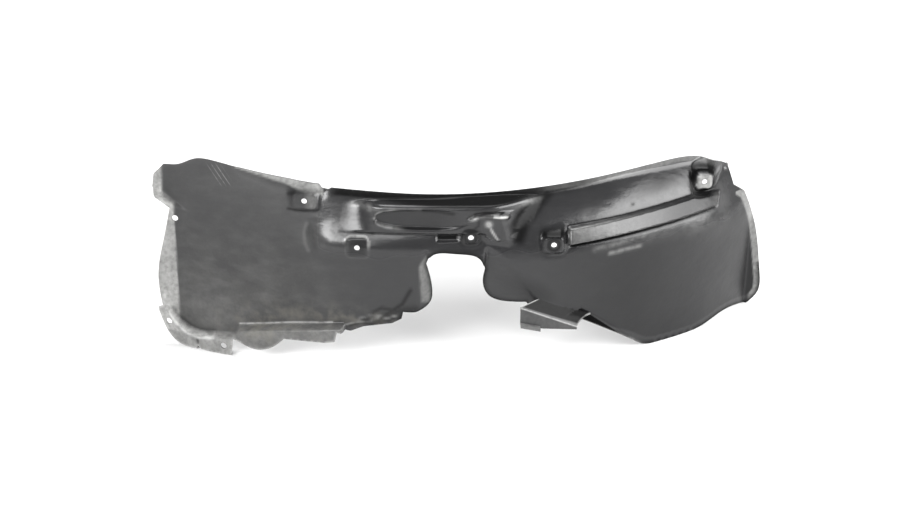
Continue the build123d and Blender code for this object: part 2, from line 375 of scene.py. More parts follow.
@dataclass(frozen=True)
class Pad:
    """Flat screw pad: its middle, size, step above the panel, groove round it, softness and hole."""

    at: Point
    size: Point
    step: float
    groove: float = 0.0
    soft: float = 4.0
    hole: float = 6.5
    corner: float = 5.0

    def away(self, x: Array, z: Array) -> Array:
        """Distance outside the pad's border, negative inside."""
        return box_distance(x, z, self.at, self.size, self.corner)

    def ring(self, x: Array, z: Array, out: float, width: float) -> Array:
        """Bell round the pad, centred a distance out from its border."""
        return bell(self.away(x, z) - out, width)


@dataclass
class MouldedSheet:
    """The sheet itself: a depth over the front view, trimmed by its edge and given a wall.

    Each row band has its foot, top and step, each lip its region and the place whose depth it keeps, each
    ramp its start, fall in degrees and side, each ripple its height, its runs along and up and its start.
    """

    arch: ArchForm = field(default_factory=ArchForm)
    cell: float = 1.9
    rows: Tuple[Vector, ...] = (
        (-4.0, 30.0, 1.7), (30.0, 56.0, 1.1), (56.0, 130.0, 3.0), (130.0, 217.0, 1.15), (217.0, 241.0, 1.9),
    )
    ball_rings: Point = (0.55, 0.9)
    ball_turns: int = 8
    rim_batches: int = 24
    ripples: Tuple[Tuple[float, ...], ...] = ((0.45, 33.0, 41.0, 0.0), (0.30, 19.0, -27.0, 1.3))
    blend: float = 4.0
    flange_height: float = 7.0
    flange_over: float = 20.0
    flange_start: Point = (-147.0, -134.0)
    flange_end: Point = (359.5, 357.5)
    skirt_step: float = 15.0
    rib_step: float = 8.0
    rib_groove: Point = (2.6, 1.8)
    beam_top: float = 200.5
    beam_round: float = 5.5
    beam_foot: float = 168.0
    beam_ramps: Tuple[Vector, ...] = ((-100.0, 27.0, -1.0), (48.0, 29.0, 1.0))
    dish_at: Point = (-29.0, 184.5)
    dish_half: Point = (57.0, 11.5)
    dish_power: float = 2.6
    dish_depth: float = 5.0
    groove_at: Point = (-3.0, 160.5)
    groove_size: Point = (24.0, 7.0)
    groove_depth: float = 2.2
    lips: Tuple[Tuple[Path, Point], ...] = (
        (((-395, 210), (-305, 168), (-305, 20), (-395, 20)), (-327.0, 127.0)),
        (((-395, 250), (-336, 250), (-336, 178), (-395, 178)), (-352.0, 211.0)),
        (((350, 172), (455, 172), (455, -30), (350, -30)), (400.0, 127.0)),
    )
    skirt: Path = (
        (-390, 50), (-350, 50), (-341, 34), (-325, 21), (-311, 18), (-262, 23), (-255, 35),
        (-190, 45), (-126, 52), (-126, -30), (-390, -30),
    )
    rib: Path = (
        (139, 148), (237, 155), (337, 161), (341, 174), (301, 178), (228, 173), (139, 166),
    )
    rib_foot: Path = ((142, 146.6), (190, 150), (237, 153.4), (300, 157.4), (334, 159.6))
    rib_brow: Path = ((141, 167.4), (228, 174.4), (301, 179.4), (338, 175.6))
    gusset: Path = ((26, 184), (57, 189), (66, 158), (46, 162))
    gusset_lip: Path = ((23, 183), (30, 187.5), (40, 189), (54, 188), (66, 185.5))
    gusset_rib: Path = ((44, 178), (49, 169), (55, 160))
    dent: Path = ((-166, 173), (-169.5, 163), (-168.5, 151), (-165, 142))
    facets: Tuple[Facet, ...] = (
        Facet(((-60, 147), (-27, 147), (-22, 132), (-10, 100), (-10, 60), (-60, 60)),
              ((-38, 84), (-27, 147)), 45.0, (1, 0)),
        Facet(((41, 128), (41, 150), (120, 150), (120, 60), (20, 60), (20, 112)),
              ((44, 148), (100, 86)), 30.0, (-1, -1)),
        Facet(((-252, 250), (-146, 250), (-146, 190), (-252, 190)),
              ((-250, 229), (-148, 205)), 45.0, (0, 1), 5.0),
        Facet(((154, 64), (178, 55), (256, -10), (154, -10)),
              ((168, 58), (214, 21)), 50.0, (-1, -1)),
    )
    pads: Dict[str, Pad] = field(default_factory=lambda: {
        "upper_left": Pad((-168.0, 200.0), (28.0, 20.0), 6.0, 0.0, 10.0),
        "left": Pad((-107.0, 150.0), (25.0, 23.0), 5.0),
        "nose": Pad((24.0, 162.5), (17.0, 15.0), 6.0, 0.8, 7.0),
        "right": Pad((120.5, 150.0), (23.0, 20.0), 6.0, 0.6, 9.0),
        "upper_right": Pad((317.0, 192.0), (20.0, 19.0), 13.0, 4.0),
    })
    clip_holes: Tuple[Tuple[Point, float], ...] = (
        ((-331.5, 163.0), 7.5), ((-349.0, 30.0), 8.0), ((-276.5, 11.0), 8.0),
    )
    edge: Tuple[Tuple[Curve, Path], ...] = (
        (Curve.SMOOTH, ((-326, 226), (-306, 234), (-280, 234.5), (-221, 225), (-152, 216))),
        (Curve.STRAIGHT, ((-148, 212), (-140, 212.5), (-137, 214.5))),
        (Curve.SMOOTH, ((-34, 207.3), (81, 207.5), (177, 213.5), (262, 219.5), (312, 217.5), (358, 201))),
        (Curve.STRAIGHT, ((366, 175), (384, 163))),
        (Curve.SMOOTH, ((403, 121), (412, 83), (418, 45), (418, 18), (404, 0))),
        (Curve.SMOOTH, ((374, 8), (352, 7.5), (334, 3), (314, 0))),
        (Curve.STRAIGHT, ((252, 0),)),
        (Curve.SMOOTH, ((240, 2.5), (224, 12), (202, 23), (160, 40))),
        (Curve.STRAIGHT, ((104, 58), (90, 77))),
        (Curve.SMOOTH, ((66, 73.5), (48, 77.5), (40, 91), (41, 118))),
        (Curve.SMOOTH, ((35, 136), (6, 143), (-22, 140), (-27.5, 130))),
        (Curve.SMOOTH, ((-21, 95), (-24, 77), (-36, 71), (-55, 70.5))),
        (Curve.STRAIGHT, ((-57, 62), (-68, 56), (-102, 50.5), (-118, 43.5), (-133, 46))),
        (Curve.STRAIGHT, ((-136, 34), (-147, 32), (-198, 32))),
        (Curve.SMOOTH, ((-215, 18), (-238, 13.5), (-260, 21), (-264, 22))),
        (Curve.STRAIGHT, ((-267, 0), (-298, 0), (-308, 1), (-311, 6), (-313, 1))),
        (Curve.SMOOTH, ((-326, 1), (-340, 5), (-353, 19), (-362, 47))),
        (Curve.STRAIGHT, ((-356, 49),)),
        (Curve.SMOOTH, ((-358, 90), (-347, 138), (-337, 176))),
        (Curve.STRAIGHT, ((-362, 196),)),
        (Curve.STRAIGHT, ((-359, 212), (-346, 224))),
    )

    def outline(self) -> Array:
        """Samples of the sheet's edge in the front view, each stretch starting where the last one ended."""
        start = self.edge[-1][1][-1]
        runs: List[Array] = []
        for curve, points in self.edge:
            path = [start, *points]
            if curve is Curve.SMOOTH:
                runs.append(smooth_path(path))
            else:
                ends = zip(path[:-1], path[1:])
                runs.append(np.concatenate([np.linspace(a, b, STRAIGHT_STEPS + 1)[1:] for a, b in ends]))
            start = points[-1]
        return np.concatenate(runs)

    def top_knots(self) -> Array:
        """Points of the top edge right of the nick."""
        return np.array([self.edge[1][1][-1], *self.edge[2][1]], float)

    def top_edge(self, x: Array) -> Array:
        """Height of the top edge right of the nick."""
        return on_curve(self.top_knots(), x)

    def flange(self, x: Array) -> Array:
        """Depth of the upright flange: the crown's depth a flange height below the top edge, smoothed."""
        along, high = self.top_knots().T
        return on_curve(np.column_stack([along, self.arch.depth(along, high - self.flange_height)]), x)

    def beam(self, x: Array, z: Array) -> Array:
        """Depth of the beam across the nose: the plan arc with a ramp at each end, a quarter round along
        its top, a steep ledge behind that and a drafted wall below.

        Args:
            x: Places along the arch.
            z: Heights.
        Returns:
            Depths behind the nose.
        """
        plan = self.arch.plan(x)
        for start, fall, side in self.beam_ramps:
            here = float(self.arch.plan(np.array(start)))
            plan = soft_max(plan, here + side * (x - start) * math.tan(math.radians(fall)), 6)
        turn = np.clip((z - self.beam_top + self.beam_round) / self.beam_round, 0, 0.97)
        shoulder = self.beam_round * (1 - np.sqrt(1 - turn ** 2))
        slope = 0.36 * np.maximum(z - 166, 0) * ease(-76, -112, x)
        ledge = 9 * np.maximum(z - self.beam_top, 0)
        below = (3.6 - 2.7 * ease(-100, -132, x)) * np.maximum(self.beam_foot - z, 0)
        beside = 0.7 * np.maximum(-138 - x, 0) + 0.008 * np.maximum(x - 62, 0) ** 2
        return plan + shoulder + slope + ledge + below + beside

    def oval(self, x: Array, z: Array) -> Array:
        """Height outside the dish's long oval, negative inside: the height off its middle line less the
        half height times the root of one less the power of the place along it.

        Args:
            x: Places along the arch.
            z: Heights.
        Returns:
            Distances in millimetres.
        """
        length, height = self.dish_half
        along = np.abs(x - self.dish_at[0]) / length
        bow = np.maximum(1 - np.minimum(along, 1) ** self.dish_power, 0) ** (1 / self.dish_power)
        return np.abs(z - self.dish_at[1]) - height * bow + length * np.maximum(along - 1, 0)

    def waves(self, x: Array, z: Array) -> Array:
        """Unevenness of a thin moulding: long sine ripples, the dent and swelling by the beam, and a patch.

        Args:
            x: Places along the arch.
            z: Heights.
        Returns:
            Depths to add to the panel's.
        """
        long = sum(high * np.sin(x / run + z / climb + start) for high, run, climb, start in self.ripples)
        long = long * ease(-330, -290, x) * ease(400, 360, x)
        long = long * (1 + 1.2 * ease(150, 200, x) * ease(135, 165, z))
        dent = Spot(1.4, (-160, 159), (4.5, 11), 8).on(x, z) - Line(0.5, self.dent, 2.6).on(x, z)
        swell = ease(-167, -136, x) * ease(20, -90, x) * bell(z - 150, 13)
        patch = Spot(2.2, (322, 134), (24, 12)).on(x, z)
        return long + dent - 6.5 * swell - patch

    def turned(self, y: Array, x: Array, z: Array) -> Array:
        """Turns the panel back at the facets, upright at the flange and flat at the lips.

        Args:
            y: Depths of the wavy panel.
            x: Places along the arch.
            z: Heights.
        Returns:
            Depths behind the nose.
        """
        for facet in self.facets:
            back = soft_max(y, facet.depth(self.arch, x, z), self.blend)
            y = moved(y, back, within(x, z, facet.region, facet.soft))
        high = z > self.arch.shoulder + self.flange_over
        along = ease(*self.flange_start, x) * ease(*self.flange_end, x) * high
        y = moved(y, soft_min(y, self.flange(x), self.blend), along)
        for region, (lip_x, lip_z) in self.lips:
            flat = float(self.arch.depth(np.array(lip_x), lip_z))
            y = moved(y, soft_min(y, flat + np.zeros_like(y), 3), within(x, z, region, 1.5))
        return y

    def depth(self, x: Array, z: Array) -> Array:
        """Depth of the outer side: the panel, less what is raised and plus what is turned back or dished.

        Args:
            x: Places along the arch.
            z: Heights.
        Returns:
            Depths behind the nose.
        """
        panel, plan = self.arch.depth(x, z), self.arch.plan(x)
        y = self.turned(panel + self.waves(x, z), x, z)
        y = moved(y, np.minimum(y, panel - self.skirt_step), within(x, z, self.skirt, 1.6))
        y = y + Line(self.rib_groove[0], self.rib_foot, self.rib_groove[1]).on(x, z)
        y = moved(y, np.minimum(y, panel - self.rib_step), within(x, z, self.rib, 1.3))
        ends = self.blend + 10 * ease(30, 85, x) + 4 * ease(-95, -135, x)
        y = soft_min(y, self.beam(x, z), ends)
        web = plan - 0.5 + 0.9 * np.maximum(polygon_distance(x, z, self.gusset), 0)
        y = soft_min(y, web + 5 * np.maximum(z - 191, 0), 6)
        y = y - Line(3.4, self.gusset_lip, 1.7).on(x, z) - Line(1.6, self.gusset_rib, 1.6).on(x, z)
        dish = ease(1.4, -2.4, self.oval(x, z)) * (0.15 + 0.85 * ease(24, -30, x))
        y = y + dish * np.maximum(plan + self.dish_depth - y, 0)
        groove = box_distance(x, z, self.groove_at, self.groove_size, 1)
        y = y + ease(0.9, -0.9, groove) * np.maximum(panel + self.groove_depth - y, 0)
        for pad in self.pads.values():
            top = float(self.arch.depth(np.array(pad.at[0]), pad.at[1])) - pad.step
            y = y + pad.groove * pad.ring(x, z, 4, 1.8)
            y = soft_min(y, top + 2 * np.maximum(pad.away(x, z) + 1.5, 0), pad.soft)
        return y

    @staticmethod
    def snap(points: Array, path: Array) -> Array:
        """Nearest places on the closed edge to the given points.

        Args:
            points: Points near the edge.
            path: Closed edge samples.
        Returns:
            Points on the edge.
        """
        a, d = path[None], (np.roll(path, -1, axis=0) - path)[None]
        t = ((points[:, None] - a) * d).sum(-1) / np.maximum((d * d).sum(-1), TINY)
        feet = a + np.clip(t, 0, 1)[..., None] * d
        best = np.linalg.norm(points[:, None] - feet, axis=-1).argmin(axis=1)
        return feet[np.arange(len(points)), best]

    def holes(self) -> List[Tuple[Point, float]]:
        """Middles and diameters of all the round holes."""
        return [(pad.at, pad.hole) for pad in self.pads.values()] + list(self.clip_holes)

    def grid(self) -> Tuple[Array, Array, Array]:
        """Trimmed grid in the front view: cells inside the edge, outer corners moved onto it and the holes.

        Returns:
            The points' x, their z and the quads.
        """
        path = self.outline()
        low, high = path.min(axis=0) - 2 * self.cell, path.max(axis=0) + 3 * self.cell
        xs = np.arange(low[0], high[0], self.cell)
        bands = [np.linspace(a, b, round((b - a) / step), endpoint=False) for a, b, step in self.rows]
        zs = np.concatenate(bands)
        mid_x, mid_z = np.meshgrid((xs[:-1] + xs[1:]) / 2, (zs[:-1] + zs[1:]) / 2)
        keep = polygon_distance(mid_x, mid_z, path) < 0
        for at, across in self.holes():
            keep &= np.hypot(mid_x - at[0], mid_z - at[1]) > across / 2
        row, col = np.nonzero(keep)
        wide = len(xs)
        corner = row * wide + col
        quads = np.stack([corner, corner + 1, corner + wide + 1, corner + wide], axis=1)
        used, quads = np.unique(quads, return_inverse=True)
        quads = quads.reshape(-1, 4)
        x, z = xs[used % wide], zs[used // wide]
        border = np.bincount(quads.ravel(), minlength=len(used)) < 4
        near = np.column_stack([x[border], z[border]])
        placed = self.snap(near, path)
        for at, across in self.holes():
            ray = near - np.array(at)
            span = np.linalg.norm(ray, axis=1)
            round_it = span < across / 2 + 1.5 * self.cell
            placed[round_it] = np.array(at) + ray[round_it] / span[round_it, None] * across / 2
        x[border], z[border] = placed[:, 0], placed[:, 1]
        return x, z, quads

    def inner(self, x: Array, z: Array) -> Array:
        """Depth of the inner side: the outer side rolled back by a ball of the wall's radius.

        Args:
            x: Places along the arch.
            z: Heights.
        Returns:
            Depths behind the nose.
        """
        deepest = self.depth(x, z) + WALL
        for ring in self.ball_rings:
            radius = ring * WALL
            back = math.sqrt(WALL ** 2 - radius ** 2)
            for turn in np.arange(self.ball_turns) * (2 * math.pi / self.ball_turns):
                beside = self.depth(x + radius * math.cos(turn), z + radius * math.sin(turn))
                deepest = np.maximum(deepest, beside + back)
        return deepest

    def rim_distance(self, x: Array, z: Array) -> Array:
        """Distance of each point to the nearest sample of the edge, a batch of samples at a time."""
        rim = np.full(len(x), FAR)
        for part in np.array_split(self.outline(), self.rim_batches):
            rim = np.minimum(rim, np.hypot(x[:, None] - part[:, 0], z[:, None] - part[:, 1]).min(axis=1))
        return rim

    def build(self) -> Piece:
        """Makes the sheet's mesh: outer side, inner side and the strip that joins them along every edge.

        Returns:
            The sheet, in place and dressed.
        """
        x, z, quads = self.grid()
        sides = (np.column_stack([x, y, z]) for y in (self.depth(x, z), self.inner(x, z)))
        made = shell_mesh("liner_sheet", *sides, quads)
        SheetWearAndLight(self).dress(made, x, z)
        return made


@dataclass(frozen=True)
class SheetWearAndLight:
    """Wear and painted light of the sheet: where it is pale grey, pale with wear and painted highlights,
    black with painted shade, dusty, soiled or scratched.

    Each pad ring has its pad, its strength, how far out it lies and its width. The roof is the line of the
    hood's back edge.
    """

    sheet: MouldedSheet
    # Rings of painted shade round the pads.
    pad_rings: Tuple[Tuple[str, float, float, float], ...] = (
        ("upper_right", 1.25, 3.2, 1.8), ("upper_right", 0.85, 7, 2.6), ("nose", 0.55, 2, 1.3),
    )
    # The left lobe's strip, given a painted highlight.
    lobe: Path = ((-36, 128), (-27, 141), (-20, 96), (-23, 77), (-33, 82))
    # Painted shade over the flank beside the gusset, where a highlight would fall.
    flank: Path = (
        (72, 154), (69, 174), (76, 188), (92, 199), (114, 206), (124, 202), (108, 188), (92, 170),
        (84, 152),
    )
    # Painted shade in the hood's mouth.
    mouth: Path = ((134, 69), (178, 55), (256, -10), (134, -10))
    roof: Tuple[Vector, Vector] = ((107, 170, 171), (84, 57.5, 200))
    comb: Path = ((-288, 231), (-271, 231), (-256, 211), (-273, 209))

    def pale_and_lit(self, x: Array, z: Array, rim: Array) -> Array:
        """Share of pale grey: weathered lips and tab, and painted highlights on the lips, lug, flange
        strip, fold, rib, pads, lobe and right end, added up.

        Args:
            x: Places along the arch.
            z: Heights.
            rim: Distances to the edge.
        Returns:
            Values from 0 to 1.
        """
        sheet, pads = self.sheet, self.sheet.pads
        border = -332 - 0.03 * (163 - z)
        lip = within(x, z, sheet.lips[0][0], 2) * ease(1, -1.5, x - border)
        lug = within(x, z, sheet.lips[1][0], 2) * ease(-346, -352, x)
        end = (x > 368) * (z < 166) * np.where(z < 40, ease(404, 408, x), 1)
        right = ease(10, 7.5, rim) * end
        tab = 0.26 + 0.36 * ease(-256, -266, x)
        skirt = ease(2.5, -0.5, polygon_distance(x, z, sheet.skirt)) * tab
        below = sheet.top_edge(x) - z
        strip = ease(6.5, 4.5, below) * ease(88, 125, x) * ease(345, 318, x)
        over = z - 229 + (x + 250) * 24 / 102
        fold = within(x, z, sheet.facets[2].region, 1) * ease(-1, 2, over)
        ends = 0.26 * ease(300, 140, x) + 0.22 * ease(326, 336, x)
        rib = within(x, z, sheet.rib, 1) * ends
        pad = ease(0.5, -1.5, pads["upper_right"].away(x, z))
        shade = ease(0.5, -1.5, pads["upper_left"].away(x, z)) * ease(-170, -160, x)
        lobe = within(x, z, self.lobe, 2)
        # Painted highlights: the lips, lug, right end, flange strip, fold, rib, pads and lobe lighter where
        # they face the light.
        total = 0.78 * lip + 0.80 * lug + 0.56 * right + skirt + 0.30 * strip + 0.62 * fold + rib
        total = total + 0.95 * pad + 0.26 * shade + 0.40 * lobe
        return np.clip(total + sum(mark.on(x, z) for mark in GREY_MARKS), 0, 1)

    def rib_shade(self, x: Array, z: Array) -> Array:
        """Painted shadow in the lines under and over the rib, none of it on the rib's face."""
        sheet = self.sheet
        thick = 0.85 + Spot(0.15, (215, 151), (45, 20)).on(x, z)
        foot, brow = Line(1, sheet.rib_foot, 3.2).on(x, z), Line(0.75, sheet.rib_brow, 0.9).on(x, z)
        return np.maximum(thick * foot, brow) * ease(0.6, -0.2, -polygon_distance(x, z, sheet.rib))

    def pad_shade(self, x: Array, z: Array) -> Array:
        """Painted shade round the pads and round two of their holes, and on the left pad's face.

        Args:
            x: Places along the arch.
            z: Heights.
        Returns:
            Values from 0 to 1.
        """
        pads = self.sheet.pads
        rings = [amount * pads[name].ring(x, z, out, width) for name, amount, out, width in self.pad_rings]
        for name in ("right", "nose"):
            away = np.hypot(x - pads[name].at[0], z - pads[name].at[1])
            rings.append(0.7 * bell(away - 6.4, 1.6))
        rings.append(0.50 * pads["right"].ring(x, z, 2.2, 1.4) * ease(124, 112, x))
        rings.append(0.35 * ease(0, -5, pads["left"].away(x, z)))
        return np.maximum.reduce(rings)

    def mouth_shade(self, x: Array, z: Array) -> Array:
        """Painted shade in the hood's mouth: past the turned-back panel's line and under the roof's back
        edge.
        """
        (x0, z0), (x1, z1) = self.sheet.facets[3].line
        past = ((x - x0) * (z1 - z0) - (z - z0) * (x1 - x0)) / math.hypot(x1 - x0, z1 - z0)
        under = ease(0, -2, z - np.interp(x, *self.roof))
        return within(x, z, self.mouth, 1) * ease(0, 2.5, past) * under

    def shade_painted(self, x: Array, z: Array, rim: Array) -> Array:
        """Share of painted shade: at each place the strongest of the shaded creases, rims and marks.

        Args:
            x: Places along the arch.
            z: Heights.
            rim: Distances to the edge.
        Returns:
            Values from 0 to 1.
        """
        sheet = self.sheet
        below = sheet.top_edge(x) - z
        # Painted shade: the band under the top edge, the dark band at the top right, the dish, groove,
        # notch rim and lower hem, the rib's right half, the lower right panel, the flank beside the gusset
        # and a shadow over the gusset's lip.
        band = ease(9, 6.5, below) * ease(-142, -128, x) * ease(150, 95, x)
        far = ease(14, 5, below) * ease(90, 120, x) * ease(205, 140, x)
        dish = ease(0, -3, sheet.oval(x, z)) * ease(20, -20, x)
        groove = ease(0.5, -0.5, box_distance(x, z, (-3, 161.5), (24, 5.5), 1))
        notch = bell(rim, 2.3) * (x > -62) * (x < 102) * (z < 150)
        hem = bell(rim, 3) * ease(225, 250, x) * (z < 60)
        rib = within(x, z, sheet.rib, 1) * ease(215, 300, x)
        panel = ease(8, 10, rim) * ease(158, 138, z)
        panel = panel * (0.38 * ease(70, 230, x) + 0.12 * ease(330, 395, x))
        over_lip = Line(0.7, tuple((a, b + 3.6) for a, b in sheet.gusset_lip), 1.5)
        marks = [mark.on(x, z) for mark in (*SHADE_MARKS, over_lip)]
        flank = within(x, z, self.flank, 5)
        creases = [0.85 * band, 0.6 * far, 0.22 * dish, 0.8 * groove, 0.92 * notch, 0.95 * hem, 0.50 * rib]
        creases += [0.87 * flank, panel, self.rib_shade(x, z), self.pad_shade(x, z), self.mouth_shade(x, z)]
        return np.clip(np.maximum.reduce(creases + marks), 0, 1)

    def highlights_and_wear(self, x: Array, z: Array, rim: Array) -> Array:
        """Share of pale plastic, wear and painted highlights: at each place the strongest of the pale rims,
        ridges and marks.

        Args:
            x: Places along the arch.
            z: Heights.
            rim: Distances to the edge.
        Returns:
            Values from 0 to 1.
        """
        sheet = self.sheet
        # Painted highlights: the lower edge right of the hood, the skirt's rim, the left pad's top and
        # right sides, the dish's left end and the gusset's ridges, over a faint pale rim all round.
        low = ease(150, 180, x) * ease(245, 225, x) * (z < 45)
        edge = bell(rim, 1.1) * (0.02 + 0.5 * within(x, z, sheet.skirt, 2) + 0.35 * low)
        side = ease(154, 161, z) + ease(-98, -94, x) * ease(146, 156, z)
        ring = 0.5 * sheet.pads["left"].ring(x, z, 1.2, 0.8) * np.clip(0.06 + side, 0, 1)
        dish = 0.28 * bell(sheet.oval(x, z) - 0.5, 1.2) * ease(-48, -72, x)
        ridges = ((0.10, sheet.gusset_lip, 0.9), (0.48, sheet.gusset_rib, 0.9), (0.06, sheet.dent, 1.8))
        marks = (*HIGHLIGHT_AND_WEAR_MARKS, *(Line(*ridge) for ridge in ridges))
        return np.clip(np.maximum.reduce([edge, ring, dish, *(mark.on(x, z) for mark in marks)]), 0, 1)

    def coats(self, x: Array, z: Array) -> Dict[Coat, Array]:
        """Where the finish is dusty, pale grey, soiled, glossy, pale with wear and painted highlights,
        black with painted shade or scratched, from 0 to 1.

        Args:
            x: Places along the arch.
            z: Heights.
        Returns:
            One array for each coat.
        """
        rim = self.sheet.rim_distance(x, z)
        polished = ease(137, 147, z + 3 * np.sin(x / 17) + 2 * np.sin(x / 7 + 1))
        return {
            Coat.DUST: 0.10 + ease(-70, -215, x) * (0.95 - 0.68 * ease(50, 190, z)),
            Coat.GREY: self.pale_and_lit(x, z, rim),
            Coat.GRIME: np.clip(sum(mark.on(x, z) for mark in SOIL_MARKS), 0, 1),
            Coat.GLOSS: ease(-175, -145, x) * (0.74 + 0.26 * polished),
            Coat.EDGE: self.highlights_and_wear(x, z, rim),
            Coat.CREASE: self.shade_painted(x, z, rim),
            Coat.SCRATCH: within(x, z, self.comb, 3),
        }

    def dress(self, made: Piece, x: Array, z: Array) -> None:
        """Stores the coats of both sides on the sheet, the inner side's by their own shares."""
        for coat, values in self.coats(x, z).items():
            paint(made, coat, np.concatenate([values, values * INNER_SHARE.get(coat, 1)]))


@dataclass
class Hood:
    """The hood over the lower edge: a front wall, a rounded ridge, a roof that slants back, and a foot."""

    sheet: MouldedSheet
    left: float = 82.0
    right: float = 151.0
    step: float = 14.0
    ridge: Point = (80.0, 49.0)
    ridge_radius: float = 2.6
    ridge_turn: float = 74.0
    back_x: Point = (107.0, 170.0)
    back_z: Point = (84.0, 57.5)
    buried: float = 2.0
    bulge: float = 4.5
    lower: Path = ((82, 58), (106, 51), (151, 45))
    foot_length: float = 24.0
    foot_width: float = 8.0
    foot_z: float = 61.0
    foot_drop: float = 7.0
    foot_round: float = 1.2
    foot_grid: Tuple[int, int] = (16, 5)
    stations: int = 60
    wall_rows: int = 8
    ridge_rows: int = 6
    roof_rows: int = 11
    # Pale grey over the hood: a painted highlight that lightens its front wall.
    grey: float = 0.12
    gloss: float = 0.8
    foot_wear: float = 0.15
    # Painted highlights along the ridge and at the free ends.
    ridge_highlight: float = 0.38
    end_highlight: Point = (0.85, 0.40)
    # Painted shade on the front wall and the roof.
    wall_shade: float = 0.08
    roof_shade: float = 0.90

    def front(self, x: Array) -> Array:
        """Depth of the front wall, a straight line between its two ends a step in front of the panel."""
        ends = self.sheet.arch.plan(np.array([self.left, self.right])) - self.step
        return ends[0] + (ends[1] - ends[0]) * (x - self.left) / (self.right - self.left)

    def profile(self, wall: float) -> Array:
        """Hood section at each station: up the front wall, round the ridge and back along the roof.

        Args:
            wall: How far the section is moved inwards.
        Returns:
            Points, stations first.
        """
        share = np.linspace(0.0, 1.0, self.stations)[:, None]
        x, ridge, back_x, back_z = (
            first + (last - first) * share
            for first, last in ((self.left, self.right), self.ridge, self.back_x, self.back_z)
        )
        front, ridge = self.front(x) + wall, ridge - wall
        low = np.interp(x, *np.array(self.lower, float).T)
        radius = np.minimum(self.ridge_radius, np.maximum(ridge - low, 0.3) * 0.5)
        wall_top = np.maximum(ridge - radius, low + 0.1)
        up = np.linspace(0.0, 1.0, self.wall_rows + 1)[None, :-1]
        bend = np.linspace(0.0, math.radians(self.ridge_turn), self.ridge_rows)[None]
        out = np.linspace(0.0, 1.0, self.roof_rows + 1)[None, 1:]
        wall_z = low + (wall_top - low) * up
        turn_y = front + radius - radius * np.cos(bend)
        turn_z = wall_top + radius * np.sin(bend)
        back_y = self.sheet.depth(back_x, back_z) + self.buried
        last_y, last_z = turn_y[:, -1:], turn_z[:, -1:]
        roof_x = x + (back_x - x) * out
        roof_y = last_y + (back_y - last_y) * out
        bulge = self.bulge * share ** 2 * np.sin(math.pi * out ** 0.7)
        roof_z = last_z + (back_z - wall - last_z) * out + bulge
        xs = np.concatenate([np.repeat(x, self.wall_rows + self.ridge_rows, axis=1), roof_x], axis=1)
        ys = np.concatenate([np.repeat(front, self.wall_rows, axis=1), turn_y, roof_y], axis=1)
        return np.stack([xs, ys, np.concatenate([wall_z, turn_z, roof_z], axis=1)], axis=-1)

    def foot(self, drop: float) -> Array:
        """Top or underside of the foot: a strip in front of the wall that falls towards the right.

        Args:
            drop: How far it lies under the top side.
        Returns:
            Points, stations along the foot first.
        """
        share, out = np.meshgrid(*(np.linspace(0.0, 1.0, count) for count in self.foot_grid), indexing="ij")
        x = self.left + self.foot_length * share
        y = self.front(x) + 1.0 - (self.foot_width + 1.0) * (1.0 - out)
        z = self.foot_z - self.foot_drop * share - drop - self.foot_round * (1.0 - out) ** 3
        return np.stack([x, y, z], axis=-1)

    def dress(self, made: Piece, edge: Array, crease: Array) -> None:
        """Stores the hood's coats.

        Args:
            made: The piece.
            edge: Wear and painted highlights of its points.
            crease: Painted shade of its points.
        """
        values = {coat: np.zeros(len(edge)) for coat in Coat}
        values.update({Coat.EDGE: edge, Coat.CREASE: crease})
        values[Coat.GREY] += self.grey
        values[Coat.GLOSS] += self.gloss
        for coat, amount in values.items():
            paint(made, coat, amount)

    def build(self) -> List[Piece]:
        """Makes the hood and its foot, each a closed shell.

        Returns:
            Both pieces, in place and dressed.
        """
        outer = self.profile(0.0)
        hood = grid_shell("liner_hood", outer, self.profile(WALL))
        row, col = np.indices(outer.shape[:2])
        along = row / (self.stations - 1.0)
        roof = self.wall_rows + self.ridge_rows
        ridge = self.ridge_highlight * bell(col - (roof - 3.0), 0.9)
        left, right = self.end_highlight
        ends = left * ease(0.03, 0.0, along) * (col >= roof - 1) + right * ease(0.98, 1.0, along)
        edge = np.clip(ridge + ends, 0.0, 1.0).ravel()
        # Painted shade: a little on the front wall, much on the roof, and full over the inner side.
        shade = np.where(col <= self.wall_rows, self.wall_shade, self.roof_shade * (col >= roof)).ravel()
        self.dress(hood, np.concatenate([edge, edge]), np.concatenate([shade, np.ones_like(shade)]))
        foot = grid_shell("liner_hood_foot", self.foot(0.0), self.foot(WALL))
        plain = np.zeros(2 * math.prod(self.foot_grid))
        self.dress(foot, plain + self.foot_wear, plain)
        return [hood, foot]


def write_mesh(name: str, points: Array, faces: Array, creases: Optional[Array] = None) -> Piece:
    """Puts points in the arch's frame into a new mesh object at the origin, in metres.

    Args:
        name: Name of the piece.
        points: Points in millimetres.
        faces: Quads, outward side anticlockwise.
        creases: Pairs of points whose edges stay sharp.
    Returns:
        The new object.
    """
    mesh = bpy.data.meshes.new(name)
    mesh.from_pydata(((points + SHIFT) / METRE).tolist(), [], faces.tolist())
    mesh.polygons.foreach_set("use_smooth", np.ones(len(faces), bool))
    if creases is not None:
        ends = np.empty(2 * len(mesh.edges), np.int32)
        mesh.edges.foreach_get("vertices", ends)
        ends = np.sort(ends.reshape(-1, 2).astype(np.int64), axis=1)
        sharp = np.sort(creases.astype(np.int64), axis=1)
        is_sharp = np.isin(ends[:, 0] * len(points) + ends[:, 1], sharp[:, 0] * len(points) + sharp[:, 1])
        mesh.edges.foreach_set("use_edge_sharp", is_sharp)
    mesh.update()
    made = bpy.data.objects.new(name, mesh)
    bpy.context.scene.collection.objects.link(made)
    return made


